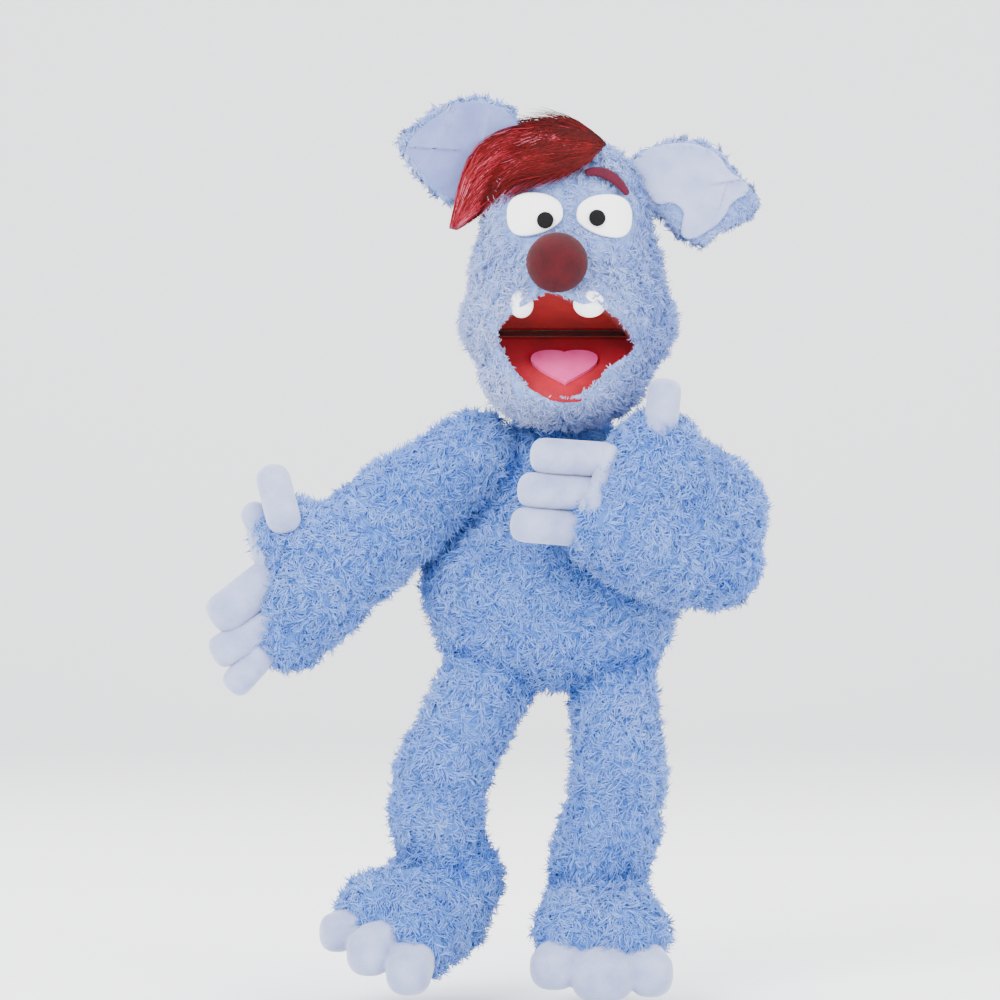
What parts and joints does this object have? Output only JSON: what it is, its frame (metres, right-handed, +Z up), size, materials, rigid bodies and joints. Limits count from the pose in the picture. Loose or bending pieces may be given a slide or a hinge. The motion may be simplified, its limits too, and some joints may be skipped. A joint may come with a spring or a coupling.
{
  "type": "moving mouth puppet",
  "caption": "Soft furry monster hand puppet, hung by its head, with a hand-worked mouth, floppy ears, glove hands and stuffed jointed legs.",
  "frame": {"origin": "centre of the hand opening at the back edge of the cuff behind the head", "axes": "+Z up, +Y out of the hand opening to the back, so the face looks along -Y; the puppet right side is at -X"},
  "size_m": [0.4043, 0.1799, 0.6449],
  "materials": {
    "body_plush": "curly cornflower blue long-pile plush",
    "face_plush": "shorter lavender blue plush",
    "minky": "smooth grey-lavender short-pile cloth",
    "palate_felt": "dark red felt",
    "floor_felt": "bright red felt",
    "tongue_felt": "pink felt",
    "nose_plush": "maroon velvet plush",
    "eye_white": "satin white",
    "pupil_black": "gloss black",
    "brow_felt": "dark crimson felt",
    "tooth_felt": "white felt",
    "hair_pile": "long red pile",
    "lining_cloth": "dark woven lining cloth",
    "mouth_board": "stiff card",
    "foam": "open-cell foam",
    "filling": "polyester wadding"
  },
  "bodies": {
    "head": {"head_skin": "face_plush", "head_foam": "foam", "palate": "palate_felt", "palate_board": "mouth_board", "finger_pocket": "lining_cloth", "hand_cuff": "lining_cloth", "mouth_fold": "palate_felt", "nose": "nose_plush", "eye_right": "eye_white", "eye_left": "eye_white", "pupil_right": "pupil_black", "pupil_left": "pupil_black", "eyebrow_right": "brow_felt", "eyebrow_left": "brow_felt", "tooth_right": "tooth_felt", "tooth_left": "tooth_felt", "hair_tuft": "hair_pile"},
    "jaw": {"jaw_skin": "face_plush", "jaw_foam": "foam", "mouth_floor": "floor_felt", "mouth_floor_board": "mouth_board", "tongue": "tongue_felt", "thumb_pocket": "lining_cloth"},
    "ear_right": {"ear_back_right": "body_plush", "ear_lining_right": "minky"},
    "ear_left": {"ear_back_left": "body_plush", "ear_lining_left": "minky"},
    "neck": {"neck_collar": "body_plush"},
    "torso": {"torso_skin": "body_plush", "torso_filling": "filling"},
    "shoulder_right": {"shoulder_wadding_right": "filling"},
    "upper_arm_right": {"upper_arm_skin_right": "body_plush", "upper_arm_filling_right": "filling"},
    "forearm_right": {"glove_right": "body_plush", "palm_pad_right": "minky"},
    "thumb_right": {"thumb_right": "minky"},
    "index_finger_right": {"index_finger_right": "minky"},
    "middle_finger_right": {"middle_finger_right": "minky"},
    "little_finger_right": {"little_finger_right": "minky"},
    "thigh_right": {"thigh_skin_right": "body_plush", "thigh_filling_right": "filling"},
    "shin_right": {"shin_skin_right": "body_plush", "shin_filling_right": "filling"},
    "foot_right": {"foot_skin_right": "body_plush", "toes_right": "minky"},
    "shoulder_left": {"shoulder_wadding_left": "filling"},
    "upper_arm_left": {"upper_arm_skin_left": "body_plush", "upper_arm_filling_left": "filling"},
    "forearm_left": {"glove_left": "body_plush", "palm_pad_left": "minky"},
    "thumb_left": {"thumb_left": "minky"},
    "index_finger_left": {"index_finger_left": "minky"},
    "middle_finger_left": {"middle_finger_left": "minky"},
    "little_finger_left": {"little_finger_left": "minky"},
    "thigh_left": {"thigh_skin_left": "body_plush", "thigh_filling_left": "filling"},
    "shin_left": {"shin_skin_left": "body_plush", "shin_filling_left": "filling"},
    "foot_left": {"foot_skin_left": "body_plush", "toes_left": "minky"}
  },
  "joints": [
    {"name": "mouth_open", "type": "hinge", "parent": "head", "child": "jaw", "pos_m": [0, -0.08, -0.002], "axis": [1, 0, 0], "range_deg": [-54, 15]},
    {"name": "ear_right_flop", "type": "hinge", "parent": "head", "child": "ear_right", "pos_m": [-0.058, -0.07, 0.124], "axis": [0.545, 0, 0.8384], "range_deg": [-25, 25]},
    {"name": "ear_left_flop", "type": "hinge", "parent": "head", "child": "ear_left", "pos_m": [0.063, -0.07, 0.103], "axis": [0.3011, 0, -0.9536], "range_deg": [-25, 25]},
    {"name": "neck_turn", "type": "hinge", "parent": "head", "child": "neck", "pos_m": [-0.003, -0.042, -0.068], "axis": [0, 0, 1], "range_deg": [-16, 16]},
    {"name": "neck_nod", "type": "hinge", "parent": "neck", "child": "torso", "pos_m": [-0.003, -0.042, -0.068], "axis": [1, 0, 0], "range_deg": [-8, 25]},
    {"name": "arm_raise_right", "type": "hinge", "parent": "torso", "child": "shoulder_right", "pos_m": [-0.073, -0.072, -0.098], "axis": [0, 1, 0], "range_deg": [-3, 55]},
    {"name": "arm_swing_right", "type": "hinge", "parent": "shoulder_right", "child": "upper_arm_right", "pos_m": [-0.073, -0.072, -0.098], "axis": [0, 0, 1], "range_deg": [-20, 20]},
    {"name": "elbow_right", "type": "hinge", "parent": "upper_arm_right", "child": "forearm_right", "pos_m": [-0.147, -0.092, -0.146], "axis": [0, 1, 0], "range_deg": [-15, 35]},
    {"name": "thumb_right_curl", "type": "hinge", "parent": "forearm_right", "child": "thumb_right", "pos_m": [-0.203, -0.104, -0.126], "axis": [0.9285, 0, 0.3714], "range_deg": [-10, 20]},
    {"name": "index_finger_right_curl", "type": "hinge", "parent": "forearm_right", "child": "index_finger_right", "pos_m": [-0.226, -0.104, -0.18], "axis": [-0.6585, 0, 0.7526], "range_deg": [-10, 20]},
    {"name": "middle_finger_right_curl", "type": "hinge", "parent": "forearm_right", "child": "middle_finger_right", "pos_m": [-0.214, -0.106, -0.213], "axis": [-0.4472, 0, 0.8944], "range_deg": [-10, 20]},
    {"name": "little_finger_right_curl", "type": "hinge", "parent": "forearm_right", "child": "little_finger_right", "pos_m": [-0.193, -0.106, -0.235], "axis": [-0.3881, 0, 0.9216], "range_deg": [-10, 20]},
    {"name": "arm_raise_left", "type": "hinge", "parent": "torso", "child": "shoulder_left", "pos_m": [0.063, -0.072, -0.098], "axis": [0, -1, 0], "range_deg": [0, 30]},
    {"name": "arm_swing_left", "type": "hinge", "parent": "shoulder_left", "child": "upper_arm_left", "pos_m": [0.063, -0.072, -0.098], "axis": [-1, 0, 0], "range_deg": [-2, 18]},
    {"name": "elbow_left", "type": "hinge", "parent": "upper_arm_left", "child": "forearm_left", "pos_m": [0.11, -0.112, -0.172], "axis": [-0.6102, 0.4801, -0.6302], "range_deg": [-40, 4]},
    {"name": "thumb_left_curl", "type": "hinge", "parent": "forearm_left", "child": "thumb_left", "pos_m": [0.063, -0.154, -0.079], "axis": [-0.9918, 0, 0.128], "range_deg": [-10, 20]},
    {"name": "index_finger_left_curl", "type": "hinge", "parent": "forearm_left", "child": "index_finger_left", "pos_m": [0.015, -0.154, -0.094], "axis": [-0.1146, 0, -0.9934], "range_deg": [-10, 20]},
    {"name": "middle_finger_left_curl", "type": "hinge", "parent": "forearm_left", "child": "middle_finger_left", "pos_m": [0.005, -0.154, -0.119], "axis": [-0.1146, 0, -0.9934], "range_deg": [-10, 20]},
    {"name": "little_finger_left_curl", "type": "hinge", "parent": "forearm_left", "child": "little_finger_left", "pos_m": [0.001, -0.154, -0.144], "axis": [-0.1146, 0, -0.9934], "range_deg": [-10, 20]},
    {"name": "hip_right", "type": "hinge", "parent": "torso", "child": "thigh_right", "pos_m": [-0.049, -0.07, -0.246], "axis": [-1, 0, 0], "range_deg": [-18, 38]},
    {"name": "knee_right", "type": "hinge", "parent": "thigh_right", "child": "shin_right", "pos_m": [-0.089, -0.082, -0.316], "axis": [1, 0, 0], "range_deg": [-5, 60]},
    {"name": "ankle_right", "type": "hinge", "parent": "shin_right", "child": "foot_right", "pos_m": [-0.095, -0.078, -0.38], "axis": [1, 0, 0], "range_deg": [-20, 20]},
    {"name": "hip_left", "type": "hinge", "parent": "torso", "child": "thigh_left", "pos_m": [0.033, -0.07, -0.25], "axis": [-1, 0, 0], "range_deg": [-18, 38]},
    {"name": "knee_left", "type": "hinge", "parent": "thigh_left", "child": "shin_left", "pos_m": [0.035, -0.08, -0.322], "axis": [1, 0, 0], "range_deg": [-5, 60]},
    {"name": "ankle_left", "type": "hinge", "parent": "shin_left", "child": "foot_left", "pos_m": [0.027, -0.076, -0.386], "axis": [1, 0, 0], "range_deg": [-20, 20]}
  ]
}
